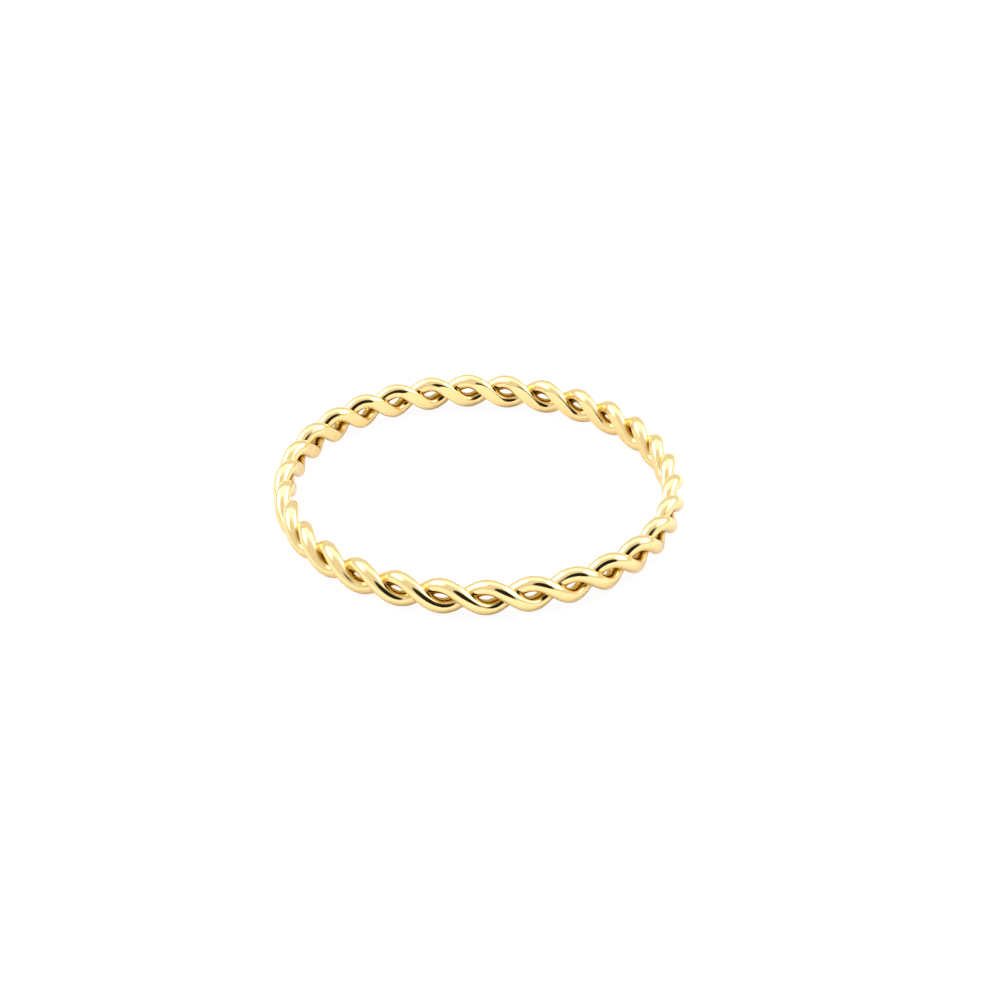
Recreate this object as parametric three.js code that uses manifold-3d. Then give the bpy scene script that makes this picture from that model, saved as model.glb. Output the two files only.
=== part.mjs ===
// Rope twist ring: two round gold strands wound round each other in a closed band.
// The strands run into each other where they cross, so the band is one solid piece of metal.
// Units are millimetres, +Z is up, and the ring lies on its side with its axis along Z.
import * as THREE from 'three';
import { mergeVertices } from 'three/addons/utils/BufferGeometryUtils.js';
import Module from 'manifold-3d';

// Finger bore and band
const BORE_DIAMETER = 17.3;
const BAND_THICKNESS = 1.035;

// Strands: round, and carried on an oval twist that is taller than it is thick
const STRANDS = 2;
const STRAND_DIAMETER = 0.71;
const TWIST_RISE = 0.505;
const TWIST_DEPTH = 0.225;

// Whole turns of the twist in one round of the ring, and where the first one starts
const TWIST_TURNS = 15;
const TWIST_START = 0.603;

// The twist is not quite even: it gains and loses a little once and twice in a round of the ring
const UNEVEN_ONCE = 0.356;
const UNEVEN_ONCE_FROM = 1.343;
const UNEVEN_TWICE = 0.286;
const UNEVEN_TWICE_FROM = -0.257;

// Facets
const STATIONS_PER_TURN = 14;
const STRAND_SIDES = 12;

// The join leaves slivers where facets nearly meet: edges under this length are closed up
const SHORTEST_EDGE = 0.012;

// Sizes that follow from the ones above
const strandRadius = STRAND_DIAMETER / 2;
const boreRadius = BORE_DIAMETER / 2;
const outerRadius = boreRadius + BAND_THICKNESS;
const ropeRadius = outerRadius - strandRadius - TWIST_DEPTH;
const halfHeight = TWIST_RISE + strandRadius;
const stations = TWIST_TURNS * STATIONS_PER_TURN;

// Angle of the twist at one azimuth of the ring
function twistAngle(azimuth) {
  const once = UNEVEN_ONCE * Math.sin(azimuth - UNEVEN_ONCE_FROM);
  const twice = UNEVEN_TWICE * Math.sin(2 * (azimuth - UNEVEN_TWICE_FROM));
  return TWIST_START - TWIST_TURNS * azimuth - once - twice;
}

// Centre of one strand, which circles the middle of the band as it goes round the ring
function strandCentre(azimuth, strand) {
  const twist = twistAngle(azimuth) + (strand * 2 * Math.PI) / STRANDS;
  const reach = ropeRadius + TWIST_DEPTH * Math.cos(twist);
  const height = halfHeight + TWIST_RISE * Math.sin(twist);
  return new THREE.Vector3(reach * Math.cos(azimuth), reach * Math.sin(azimuth), height);
}

// Where a point would reach into the finger bore, it is ground back to the bore's wall
function grindToBore(point) {
  const reach = Math.hypot(point.x, point.y);
  if (reach < boreRadius) {
    point.x *= boreRadius / reach;
    point.y *= boreRadius / reach;
  }
}

// One strand as a closed tube that meets itself after a full round of the ring
function strandTube(strand) {
  const positions = [];
  const indices = [];
  const step = (2 * Math.PI) / stations;
  for (let i = 0; i < stations; i += 1) {
    const azimuth = (i + strand / STRANDS) * step;
    const centre = strandCentre(azimuth, strand);
    const ahead = strandCentre(azimuth + step / 20, strand);
    const behind = strandCentre(azimuth - step / 20, strand);
    const along = ahead.sub(behind).normalize();
    const outward = new THREE.Vector3(Math.cos(azimuth), Math.sin(azimuth), 0);
    outward.addScaledVector(along, -outward.dot(along)).normalize();
    const across = new THREE.Vector3().crossVectors(along, outward);
    for (let j = 0; j < STRAND_SIDES; j += 1) {
      const turn = (2 * Math.PI * j) / STRAND_SIDES;
      const point = centre.clone();
      point.addScaledVector(outward, strandRadius * Math.cos(turn));
      point.addScaledVector(across, strandRadius * Math.sin(turn));
      grindToBore(point);
      positions.push(point.x, point.y, point.z);
    }
  }
  for (let i = 0; i < stations; i += 1) {
    const here = i * STRAND_SIDES;
    const next = ((i + 1) % stations) * STRAND_SIDES;
    for (let j = 0; j < STRAND_SIDES; j += 1) {
      const k = (j + 1) % STRAND_SIDES;
      indices.push(here + j, here + k, next + k);
      indices.push(here + j, next + k, next + j);
    }
  }
  const geometry = new THREE.BufferGeometry();
  geometry.setAttribute('position', new THREE.Float32BufferAttribute(positions, 3));
  geometry.setIndex(indices);
  return geometry;
}

const wasm = await Module();
wasm.setup();

function toManifold(geometry) {
  geometry.deleteAttribute('normal');
  geometry.deleteAttribute('uv');
  const merged = mergeVertices(geometry, 1e-6);
  const mesh = new wasm.Mesh({
    numProp: 3,
    vertProperties: new Float32Array(merged.attributes.position.array),
    triVerts: new Uint32Array(merged.index.array),
  });
  return new wasm.Manifold(mesh);
}

// Triangles that use each corner, and the two triangles on each edge
function neighbours(triangles) {
  const around = new Map();
  const edges = new Map();
  triangles.forEach((triangle, index) => {
    triangle.forEach((corner, side) => {
      const next = triangle[(side + 1) % 3];
      const key = corner < next ? `${corner},${next}` : `${next},${corner}`;
      around.set(corner, [...(around.get(corner) ?? []), index]);
      edges.set(key, [...(edges.get(key) ?? []), index]);
    });
  });
  return { around, edges };
}

// Pulls the two ends of each very short edge together, a few apart from each other at a time
function closeShortEdges(points, triangles, shortest) {
  const { around, edges } = neighbours(triangles);
  const touched = new Set();
  const moved = new Map();
  const cornersNear = (corner) => new Set(around.get(corner).flatMap((index) => triangles[index]));
  const short = [...edges.keys()]
    .map((key) => key.split(',').map(Number))
    .filter(([a, b]) => points[a].distanceTo(points[b]) < shortest)
    .sort((p, q) => points[p[0]].distanceTo(points[p[1]]) - points[q[0]].distanceTo(points[q[1]]));
  for (const [a, b] of short) {
    const nearA = cornersNear(a);
    const nearB = cornersNear(b);
    const shared = [...nearA].filter((corner) => nearB.has(corner) && corner !== a && corner !== b);
    const near = new Set([...nearA, ...nearB]);
    if (shared.length === 2 && ![...near].some((corner) => touched.has(corner))) {
      near.forEach((corner) => touched.add(corner));
      moved.set(b, a);
    }
  }
  const next = triangles
    .map((triangle) => triangle.map((corner) => moved.get(corner) ?? corner))
    .filter(([a, b, c]) => a !== b && b !== c && c !== a);
  return { triangles: next, changed: moved.size };
}

// Turns the long edge of each flat sliver so that the sliver and its neighbour fill out
function turnSlivers(points, triangles, lowest) {
  const { edges } = neighbours(triangles);
  const used = new Set();
  triangles.forEach((triangle, index) => {
    const lengths = triangle.map((a, side) => points[a].distanceTo(points[triangle[(side + 1) % 3]]));
    const side = lengths.indexOf(Math.max(...lengths));
    const a = triangle[side];
    const b = triangle[(side + 1) % 3];
    const c = triangle[(side + 2) % 3];
    const ab = points[b].clone().sub(points[a]);
    const height = ab.clone().cross(points[c].clone().sub(points[a])).length() / ab.length();
    if (height > lowest || used.has(index)) return;
    const other = edges.get(a < b ? `${a},${b}` : `${b},${a}`).find((k) => k !== index);
    const d = triangles[other].find((corner) => corner !== a && corner !== b);
    if (used.has(other) || edges.has(c < d ? `${c},${d}` : `${d},${c}`)) return;
    triangles[index] = [a, d, c];
    triangles[other] = [d, b, c];
    used.add(index);
    used.add(other);
  });
}

function toGeometry(manifold) {
  const mesh = manifold.getMesh();
  const points = [];
  for (let i = 0; i < mesh.vertProperties.length; i += 3) {
    points.push(new THREE.Vector3().fromArray(mesh.vertProperties, i));
  }
  let triangles = [];
  for (let i = 0; i < mesh.triVerts.length; i += 3) {
    triangles.push([...mesh.triVerts.slice(i, i + 3)]);
  }
  let closing = true;
  while (closing) {
    const closed = closeShortEdges(points, triangles, SHORTEST_EDGE);
    triangles = closed.triangles;
    turnSlivers(points, triangles, SHORTEST_EDGE / 4);
    closing = closed.changed > 0;
  }
  const flat = triangles.flatMap((triangle) => triangle.flatMap((corner) => points[corner].toArray()));
  const geometry = new THREE.BufferGeometry();
  geometry.setAttribute('position', new THREE.Float32BufferAttribute(flat, 3));
  const merged = mergeVertices(geometry, 1e-6);
  merged.computeVertexNormals();
  return merged;
}

// The strands are joined into one solid where they cross
let band = toManifold(strandTube(0));
for (let strand = 1; strand < STRANDS; strand += 1) {
  band = band.add(toManifold(strandTube(strand)));
}

const gold = new THREE.MeshStandardMaterial({ color: 0xf2c75c, roughness: 0.12, metalness: 1 });
const ring = new THREE.Mesh(toGeometry(band), gold);
ring.name = 'twisted_band';

const root = new THREE.Group();
root.name = 'rope_twist_ring';
root.add(ring);

export default root;
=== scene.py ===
import math

import bpy
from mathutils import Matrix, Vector


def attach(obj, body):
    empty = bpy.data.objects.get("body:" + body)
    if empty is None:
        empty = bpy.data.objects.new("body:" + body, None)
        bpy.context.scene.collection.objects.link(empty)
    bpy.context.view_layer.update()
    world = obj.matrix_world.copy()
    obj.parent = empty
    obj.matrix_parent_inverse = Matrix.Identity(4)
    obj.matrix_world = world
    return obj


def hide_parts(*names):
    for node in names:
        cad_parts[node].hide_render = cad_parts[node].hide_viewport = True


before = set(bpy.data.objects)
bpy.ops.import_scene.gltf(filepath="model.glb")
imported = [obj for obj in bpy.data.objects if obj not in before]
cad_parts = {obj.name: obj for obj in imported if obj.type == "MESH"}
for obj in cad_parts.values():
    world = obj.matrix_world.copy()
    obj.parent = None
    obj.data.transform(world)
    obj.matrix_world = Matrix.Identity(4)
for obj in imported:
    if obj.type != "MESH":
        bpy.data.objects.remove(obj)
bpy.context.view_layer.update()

# The twisted band
# The ring is one piece of yellow gold: two round strands wound round each other fifteen times in one
# round of the finger, run together where they cross and open between the crossings. It was cast and
# polished, and its inside was ground to a smooth round bore. The wall is 8 micrometres thinner than in the
# CAD, so that these smooth strands stay inside the box of the faceted ones.
BORE_RADIUS = 0.00865
BAND_THICKNESS = 0.001027
STRAND_RADIUS = 0.000355
TWIST_RISE = 0.000505
TWIST_DEPTH = 0.000225
TWIST_TURNS = 15
TWIST_START = 0.603
UNEVEN_ONCE = 0.356
UNEVEN_ONCE_FROM = 1.343
UNEVEN_TWICE = 0.286
UNEVEN_TWICE_FROM = -0.257
STATIONS = 960
STRAND_SIDES = 48
rope_radius = BORE_RADIUS + BAND_THICKNESS - STRAND_RADIUS - TWIST_DEPTH
half_height = TWIST_RISE + STRAND_RADIUS

band_tree = bpy.data.node_groups.new("twisted band", "GeometryNodeTree")
band_tree.interface.new_socket("Geometry", in_out="INPUT", socket_type="NodeSocketGeometry")
band_tree.interface.new_socket("Geometry", in_out="OUTPUT", socket_type="NodeSocketGeometry")
band_inputs = {}
for name, kind, value in (
    ("Stations", "NodeSocketInt", STATIONS),
    ("Sides", "NodeSocketInt", STRAND_SIDES),
    ("Turns", "NodeSocketFloat", TWIST_TURNS),
    ("Start", "NodeSocketFloat", TWIST_START),
    ("Uneven Once", "NodeSocketFloat", UNEVEN_ONCE),
    ("Uneven Once From", "NodeSocketFloat", UNEVEN_ONCE_FROM),
    ("Uneven Twice", "NodeSocketFloat", UNEVEN_TWICE),
    ("Uneven Twice From", "NodeSocketFloat", UNEVEN_TWICE_FROM),
    ("Rope Radius", "NodeSocketFloat", rope_radius),
    ("Half Height", "NodeSocketFloat", half_height),
    ("Rise", "NodeSocketFloat", TWIST_RISE),
    ("Depth", "NodeSocketFloat", TWIST_DEPTH),
    ("Strand Radius", "NodeSocketFloat", STRAND_RADIUS),
    ("Bore Radius", "NodeSocketFloat", BORE_RADIUS),
    ("Material", "NodeSocketMaterial", None),
):
    socket = band_tree.interface.new_socket(name, in_out="INPUT", socket_type=kind)
    band_inputs[name] = (socket.identifier, value)

band_in = band_tree.nodes.new("NodeGroupInput")
band_out = band_tree.nodes.new("NodeGroupOutput")


def tree_math(tree, operation, first, second=None):
    node = tree.nodes.new("ShaderNodeMath")
    node.operation = operation
    for place, value in enumerate((first, second)):
        if value is None:
            continue
        if isinstance(value, (int, float)):
            node.inputs[place].default_value = value
        else:
            tree.links.new(value, node.inputs[place])
    return node.outputs[0]


def band_math(operation, first, second=None):
    return tree_math(band_tree, operation, first, second)


# Azimuth of each station, from its place in the row, and the angle of the twist there
station = band_tree.nodes.new("GeometryNodeInputIndex").outputs[0]
azimuth = band_math("DIVIDE", band_math("MULTIPLY", station, 2 * math.pi), band_in.outputs["Stations"])
wound = band_math("MULTIPLY", azimuth, band_in.outputs["Turns"])
twist = band_math("SUBTRACT", band_in.outputs["Start"], wound)
for times, part in ((1, "Uneven Once"), (2, "Uneven Twice")):
    from_azimuth = band_math("SUBTRACT", azimuth, band_in.outputs[part + " From"])
    drift_angle = band_math("MULTIPLY", from_azimuth, times)
    drift = band_math("MULTIPLY", band_math("SINE", drift_angle), band_in.outputs[part])
    twist = band_math("SUBTRACT", twist, drift)

strand_join = band_tree.nodes.new("GeometryNodeJoinGeometry")
for strand in range(2):
    # Each strand goes once round the ring, half a turn of the twist away from the other
    strand_twist = band_math("ADD", twist, strand * math.pi)
    out_by = band_math("MULTIPLY", band_math("COSINE", strand_twist), band_in.outputs["Depth"])
    up_by = band_math("MULTIPLY", band_math("SINE", strand_twist), band_in.outputs["Rise"])
    reach = band_math("ADD", band_in.outputs["Rope Radius"], out_by)
    centre = band_tree.nodes.new("ShaderNodeCombineXYZ")
    band_tree.links.new(band_math("MULTIPLY", reach, band_math("COSINE", azimuth)), centre.inputs["X"])
    band_tree.links.new(band_math("MULTIPLY", reach, band_math("SINE", azimuth)), centre.inputs["Y"])
    band_tree.links.new(band_math("ADD", band_in.outputs["Half Height"], up_by), centre.inputs["Z"])

    path = band_tree.nodes.new("GeometryNodeCurvePrimitiveCircle")
    band_tree.links.new(band_in.outputs["Stations"], path.inputs["Resolution"])
    path.inputs["Radius"].default_value = BORE_RADIUS
    place = band_tree.nodes.new("GeometryNodeSetPosition")
    band_tree.links.new(path.outputs["Curve"], place.inputs["Geometry"])
    band_tree.links.new(centre.outputs["Vector"], place.inputs["Position"])
    upright = band_tree.nodes.new("GeometryNodeSetCurveNormal")
    upright.mode = "Z_UP"
    band_tree.links.new(place.outputs["Geometry"], upright.inputs["Curve"])

    section = band_tree.nodes.new("GeometryNodeCurvePrimitiveCircle")
    band_tree.links.new(band_in.outputs["Sides"], section.inputs["Resolution"])
    band_tree.links.new(band_in.outputs["Strand Radius"], section.inputs["Radius"])
    tube = band_tree.nodes.new("GeometryNodeCurveToMesh")
    band_tree.links.new(upright.outputs["Curve"], tube.inputs["Curve"])
    band_tree.links.new(section.outputs["Curve"], tube.inputs["Profile Curve"])
    band_tree.links.new(tube.outputs["Mesh"], strand_join.inputs["Geometry"])

# Where a point would reach into the finger hole, it is ground back to the bore's wall
where = band_tree.nodes.new("GeometryNodeInputPosition")
parts = band_tree.nodes.new("ShaderNodeSeparateXYZ")
band_tree.links.new(where.outputs["Position"], parts.inputs["Vector"])
flat = band_tree.nodes.new("ShaderNodeCombineXYZ")
band_tree.links.new(parts.outputs["X"], flat.inputs["X"])
band_tree.links.new(parts.outputs["Y"], flat.inputs["Y"])
span = band_tree.nodes.new("ShaderNodeVectorMath")
span.operation = "LENGTH"
band_tree.links.new(flat.outputs["Vector"], span.inputs[0])
grow = band_math("MAXIMUM", band_math("DIVIDE", band_in.outputs["Bore Radius"], span.outputs["Value"]), 1.0)
ground = band_tree.nodes.new("ShaderNodeCombineXYZ")
band_tree.links.new(band_math("MULTIPLY", parts.outputs["X"], grow), ground.inputs["X"])
band_tree.links.new(band_math("MULTIPLY", parts.outputs["Y"], grow), ground.inputs["Y"])
band_tree.links.new(parts.outputs["Z"], ground.inputs["Z"])
grind = band_tree.nodes.new("GeometryNodeSetPosition")
band_tree.links.new(strand_join.outputs["Geometry"], grind.inputs["Geometry"])
band_tree.links.new(ground.outputs["Vector"], grind.inputs["Position"])

smooth = band_tree.nodes.new("GeometryNodeSetShadeSmooth")
band_tree.links.new(grind.outputs["Geometry"], smooth.inputs["Geometry"])
real = band_tree.nodes.new("GeometryNodeRealizeInstances")
band_tree.links.new(smooth.outputs["Geometry"], real.inputs["Geometry"])
coat = band_tree.nodes.new("GeometryNodeSetMaterial")
band_tree.links.new(real.outputs["Geometry"], coat.inputs["Geometry"])
band_tree.links.new(band_in.outputs["Material"], coat.inputs["Material"])
band_tree.links.new(coat.outputs["Geometry"], band_out.inputs["Geometry"])

GOLD_DEEPER = (0.95, 0.70, 0.32, 1.0)
GOLD_PALER = (0.95, 0.73, 0.355, 1.0)
# The last gold is painted shade for the hollows between the strands, not a colour the metal has.
GOLD_PAINTED_SHADE = (0.52, 0.34, 0.07, 1.0)
POLISH_ROUGHNESS = (0.05, 0.12)
gold = bpy.data.materials.new("polished gold")
gold.use_nodes = True
gold_nodes = gold.node_tree.nodes
gold_links = gold.node_tree.links
gold_shader = gold_nodes["Principled BSDF"]
gold_shader.inputs["Metallic"].default_value = 1.0
gold_place = gold_nodes.new("ShaderNodeTexCoord")

# Faint change of hue, as between one casting batch and the next
tint = gold_nodes.new("ShaderNodeTexNoise")
tint.inputs["Scale"].default_value = 260.0
tint.inputs["Detail"].default_value = 2.0
gold_links.new(gold_place.outputs["Object"], tint.inputs["Vector"])
hue = gold_nodes.new("ShaderNodeMix")
hue.data_type = "RGBA"
hue.inputs["A"].default_value = GOLD_DEEPER
hue.inputs["B"].default_value = GOLD_PALER
gold_links.new(tint.outputs["Fac"], hue.inputs["Factor"])

# Painted shade: near the heart of the twist, between the strands, the gold is painted darker to stand in
# for the shade that falls in the hollows between them. It begins this far from the heart and is fully dark
# this near to it.
PAINTED_SHADE_FROM = 0.00042
PAINTED_SHADE_AT = 0.00016
gold_parts = gold_nodes.new("ShaderNodeSeparateXYZ")
gold_links.new(gold_place.outputs["Object"], gold_parts.inputs["Vector"])


def gold_math(operation, first, second=None):
    return tree_math(gold.node_tree, operation, first, second)


def gold_length(first, second):
    squares = gold_math("ADD", gold_math("MULTIPLY", first, first), gold_math("MULTIPLY", second, second))
    return gold_math("SQRT", squares)


from_axis = gold_length(gold_parts.outputs["X"], gold_parts.outputs["Y"])
above_middle = gold_math("SUBTRACT", gold_parts.outputs["Z"], half_height)
from_heart = gold_length(gold_math("SUBTRACT", from_axis, rope_radius), above_middle)
painted_shade_mask = gold_nodes.new("ShaderNodeMapRange")
painted_shade_mask.interpolation_type = "SMOOTHSTEP"
painted_shade_mask.inputs["From Min"].default_value = PAINTED_SHADE_FROM
painted_shade_mask.inputs["From Max"].default_value = PAINTED_SHADE_AT
gold_links.new(from_heart, painted_shade_mask.inputs["Value"])
# Painted shade: the darker gold is mixed in by nearness to the heart of the twist.
painted_shade_mix = gold_nodes.new("ShaderNodeMix")
painted_shade_mix.data_type = "RGBA"
painted_shade_mix.inputs["B"].default_value = GOLD_PAINTED_SHADE
gold_links.new(painted_shade_mask.outputs["Result"], painted_shade_mix.inputs["Factor"])
gold_links.new(hue.outputs["Result"], painted_shade_mix.inputs["A"])
gold_links.new(painted_shade_mix.outputs["Result"], gold_shader.inputs["Base Color"])

# Polish that is a little softer in some places than in others
wear = gold_nodes.new("ShaderNodeTexNoise")
wear.inputs["Scale"].default_value = 1900.0
wear.inputs["Detail"].default_value = 4.0
gold_links.new(gold_place.outputs["Object"], wear.inputs["Vector"])
polish = gold_nodes.new("ShaderNodeMapRange")
polish.inputs["From Min"].default_value = 0.3
polish.inputs["From Max"].default_value = 0.7
polish.inputs["To Min"].default_value = POLISH_ROUGHNESS[0]
polish.inputs["To Max"].default_value = POLISH_ROUGHNESS[1]
gold_links.new(wear.outputs["Fac"], polish.inputs["Value"])
gold_links.new(polish.outputs["Result"], gold_shader.inputs["Roughness"])

# Hairline scratches that run round the ring
stretch = gold_nodes.new("ShaderNodeMapping")
stretch.inputs["Scale"].default_value = (2500.0, 2500.0, 60000.0)
gold_links.new(gold_place.outputs["Object"], stretch.inputs["Vector"])
scratches = gold_nodes.new("ShaderNodeTexNoise")
scratches.inputs["Scale"].default_value = 1.0
scratches.inputs["Detail"].default_value = 3.0
gold_links.new(stretch.outputs["Vector"], scratches.inputs["Vector"])
relief = gold_nodes.new("ShaderNodeBump")
relief.inputs["Strength"].default_value = 0.06
relief.inputs["Distance"].default_value = 0.00001
gold_links.new(scratches.outputs["Fac"], relief.inputs["Height"])
gold_links.new(relief.outputs["Normal"], gold_shader.inputs["Normal"])

band_maker = bpy.data.objects.new("band maker", bpy.data.meshes.new("band maker"))
bpy.context.scene.collection.objects.link(band_maker)
winding = band_maker.modifiers.new("winding", "NODES")
winding.node_group = band_tree
for identifier, value in band_inputs.values():
    winding[identifier] = gold if value is None else value
bpy.context.view_layer.update()
shaped = band_maker.evaluated_get(bpy.context.evaluated_depsgraph_get())
band_mesh = bpy.data.meshes.new_from_object(shaped)
band_maker.modifiers.remove(winding)
bpy.data.objects.remove(band_maker)
band = bpy.data.objects.new("twisted_band_gold", band_mesh)
bpy.context.scene.collection.objects.link(band)
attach(band, "root")
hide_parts("twisted_band")

# The table top
# A plain sheet of white board, large enough to fill the view. As in a catalogue picture the camera sees it
# almost without shade, while the gold mirrors it as it is, darker close under the ring.
FLOOR_HALF = 1.5
BOARD_WHITE = (0.88, 0.88, 0.88, 1.0)
BOARD_GLOW = 1.02
BOARD_GLOW_SHARE = 0.9
floor_mesh = bpy.data.meshes.new("table top")
floor_corners = [(-FLOOR_HALF, -FLOOR_HALF, 0), (FLOOR_HALF, -FLOOR_HALF, 0)]
floor_corners += [(FLOOR_HALF, FLOOR_HALF, 0), (-FLOOR_HALF, FLOOR_HALF, 0)]
floor_mesh.from_pydata(floor_corners, [], [(0, 1, 2, 3)])
floor = bpy.data.objects.new("table top", floor_mesh)
bpy.context.scene.collection.objects.link(floor)
board = bpy.data.materials.new("white board")
board.use_nodes = True
board_nodes = board.node_tree.nodes
board_links = board.node_tree.links
board_paint = board_nodes["Principled BSDF"]
board_paint.inputs["Base Color"].default_value = BOARD_WHITE
board_paint.inputs["Specular IOR Level"].default_value = 0.0
board_noise = board_nodes.new("ShaderNodeTexNoise")
board_noise.inputs["Scale"].default_value = 40.0
board_rough = board_nodes.new("ShaderNodeMapRange")
board_rough.inputs["To Min"].default_value = 0.8
board_rough.inputs["To Max"].default_value = 0.95
board_links.new(board_noise.outputs["Fac"], board_rough.inputs["Value"])
board_links.new(board_rough.outputs["Result"], board_paint.inputs["Roughness"])
board_glow = board_nodes.new("ShaderNodeEmission")
board_glow.inputs["Strength"].default_value = BOARD_GLOW
board_seen = board_nodes.new("ShaderNodeLightPath")
board_share = board_nodes.new("ShaderNodeMath")
board_share.operation = "MULTIPLY"
board_share.inputs[1].default_value = BOARD_GLOW_SHARE
board_links.new(board_seen.outputs["Is Camera Ray"], board_share.inputs[0])
board_mix = board_nodes.new("ShaderNodeMixShader")
board_links.new(board_share.outputs[0], board_mix.inputs["Fac"])
board_links.new(board_paint.outputs["BSDF"], board_mix.inputs[1])
board_links.new(board_glow.outputs["Emission"], board_mix.inputs[2])
board_links.new(board_mix.outputs["Shader"], board_nodes["Material Output"].inputs["Surface"])
floor_mesh.materials.append(board)

# The camera
# It looks down on the ring from a third of the way up, a hand's length away, with a long lens. The small
# shift puts the ring where it lies in the picture.
CAMERA_ELEVATION = math.radians(32.3)
CAMERA_DISTANCE = 0.1231
CAMERA_LENS = 94.1
CAMERA_SHIFT = (0.0212, -0.0126)
target = Vector((0.0, 0.0, half_height))
towards_camera = Vector((0.0, -math.cos(CAMERA_ELEVATION), math.sin(CAMERA_ELEVATION)))
camera_data = bpy.data.cameras.new("camera")
camera_data.lens = CAMERA_LENS
camera_data.sensor_width = 36.0
camera_data.clip_start = 0.01
camera_data.shift_x = CAMERA_SHIFT[0]
camera_data.shift_y = CAMERA_SHIFT[1]
camera = bpy.data.objects.new("camera", camera_data)
camera.location = target + towards_camera * CAMERA_DISTANCE
camera.rotation_euler = (-towards_camera).to_track_quat("-Z", "Y").to_euler()
bpy.context.scene.collection.objects.link(camera)
bpy.context.scene.camera = camera

# The light
# A white tent with a soft box on each side, a paler one overhead, and a dark gap in front to the right,
# where the tent opens. The dark gap is what the black lines along the strands show.
TENT_LIGHT = 0.9
world = bpy.data.worlds.new("white tent")
world.use_nodes = True
bpy.context.scene.world = world
tent_nodes = world.node_tree.nodes
tent_links = world.node_tree.links
tent_place = tent_nodes.new("ShaderNodeTexCoord")
tent_light = tent_nodes.new("ShaderNodeValue")
tent_light.outputs[0].default_value = TENT_LIGHT
tent_level = tent_light.outputs[0]


def tent_math(operation, first, second=None):
    return tree_math(world.node_tree, operation, first, second)


def tent_along(axis):
    node = tent_nodes.new("ShaderNodeVectorMath")
    node.operation = "DOT_PRODUCT"
    node.inputs[1].default_value = axis
    tent_links.new(tent_place.outputs["Generated"], node.inputs[0])
    return node.outputs["Value"]


# Dark gap, right and left soft box, overhead box: place and half size in degrees, edge and light as shares
PATCH_COLUMNS = ("azimuth", "elevation", "half_width", "half_height", "soft_edge", "light")
PATCH_ROWS = (
    (292.0, 24.0, 32.0, 26.0, 0.12, 0.02),
    (8.0, 36.0, 26.0, 20.0, 0.3, 3.8),
    (172.0, 45.0, 26.0, 22.0, 0.3, 3.8),
    (90.0, 75.0, 40.0, 20.0, 0.5, 1.8),
)
for row in PATCH_ROWS:
    patch = dict(zip(PATCH_COLUMNS, row))
    around = math.radians(patch["azimuth"])
    raised = math.radians(patch["elevation"])
    level_part = math.cos(raised)
    middle = Vector((math.cos(around) * level_part, math.sin(around) * level_part, math.sin(raised)))
    sideways = Vector((-math.sin(around), math.cos(around), 0.0))
    upward = middle.cross(sideways)
    u = tent_math("DIVIDE", tent_along(sideways), math.sin(math.radians(patch["half_width"])))
    v = tent_math("DIVIDE", tent_along(upward), math.sin(math.radians(patch["half_height"])))
    off = tent_math("SQRT", tent_math("ADD", tent_math("MULTIPLY", u, u), tent_math("MULTIPLY", v, v)))
    fade = tent_nodes.new("ShaderNodeMapRange")
    fade.interpolation_type = "SMOOTHSTEP"
    fade.inputs["From Min"].default_value = 1.0 + patch["soft_edge"]
    fade.inputs["From Max"].default_value = 1.0 - patch["soft_edge"]
    tent_links.new(off, fade.inputs["Value"])
    in_front = tent_math("GREATER_THAN", tent_along(middle), 0.0)
    inside = tent_math("MULTIPLY", fade.outputs["Result"], in_front)
    change = tent_math("MULTIPLY", inside, tent_math("SUBTRACT", patch["light"], tent_level))
    tent_level = tent_math("ADD", tent_level, change)
tent_nodes["Background"].inputs["Color"].default_value = (1.0, 1.0, 1.0, 1.0)
tent_links.new(tent_level, tent_nodes["Background"].inputs["Strength"])

bpy.context.scene.view_settings.view_transform = "Standard"
